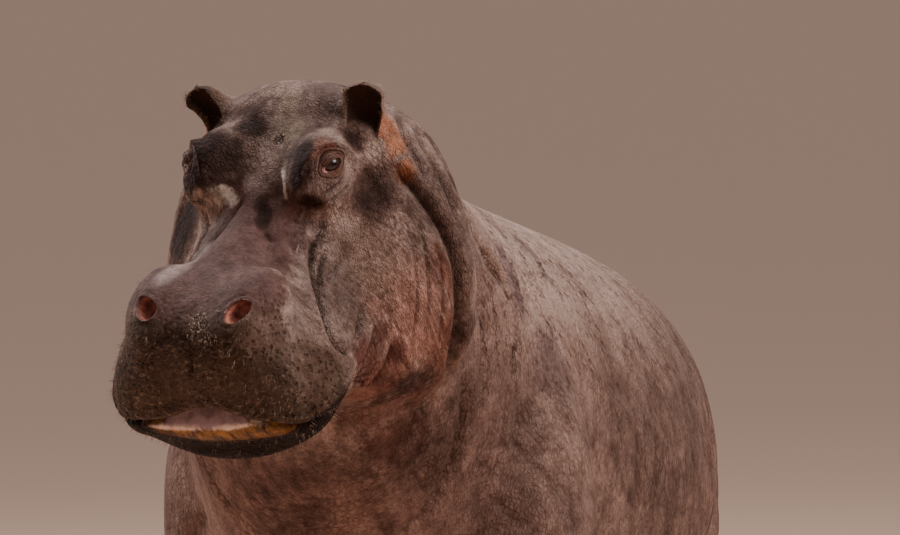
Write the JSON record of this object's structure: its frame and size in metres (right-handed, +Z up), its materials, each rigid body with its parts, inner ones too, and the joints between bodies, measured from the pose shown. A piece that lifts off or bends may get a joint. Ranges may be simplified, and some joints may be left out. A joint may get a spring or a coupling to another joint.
{
  "type": "hippopotamus",
  "caption": "Adult hippopotamus standing on four legs with its head raised, broad muzzle, deep jowls, barrel trunk and short tail.",
  "frame": {"origin": "middle of the ground under the animal: centre of the bounding box at its bottom", "axes": "+Z up, head towards -Y, tail towards +Y, the animal's left side towards +X"},
  "size_m": [1.0098, 3.234, 1.6294],
  "materials": {
    "hide": "bare wrinkled hide, damp, purplish grey-brown with pinkish red cheeks",
    "eye": "wet dark brown eyeball",
    "toenail": "dull dark horn"
  },
  "bodies": {
    "root": {"ear_left": "hide", "eye_left": "eye", "ear_right": "hide", "eye_right": "eye", "head": "hide", "lower_jaw": "hide", "neck": "hide", "trunk": "hide", "tail": "hide", "leg_fore_left": "hide", "leg_fore_right": "hide", "leg_hind_left": "hide", "leg_hind_right": "hide", "foot_fore_left": "hide", "foot_fore_right": "hide", "foot_hind_left": "hide", "foot_hind_right": "hide", "nail_fore_left_1": "toenail", "nail_fore_left_2": "toenail", "nail_fore_left_3": "toenail", "nail_fore_left_4": "toenail", "nail_fore_right_1": "toenail", "nail_fore_right_2": "toenail", "nail_fore_right_3": "toenail", "nail_fore_right_4": "toenail", "nail_hind_left_1": "toenail", "nail_hind_left_2": "toenail", "nail_hind_left_3": "toenail", "nail_hind_left_4": "toenail", "nail_hind_right_1": "toenail", "nail_hind_right_2": "toenail", "nail_hind_right_3": "toenail", "nail_hind_right_4": "toenail"}
  },
  "joints": []
}
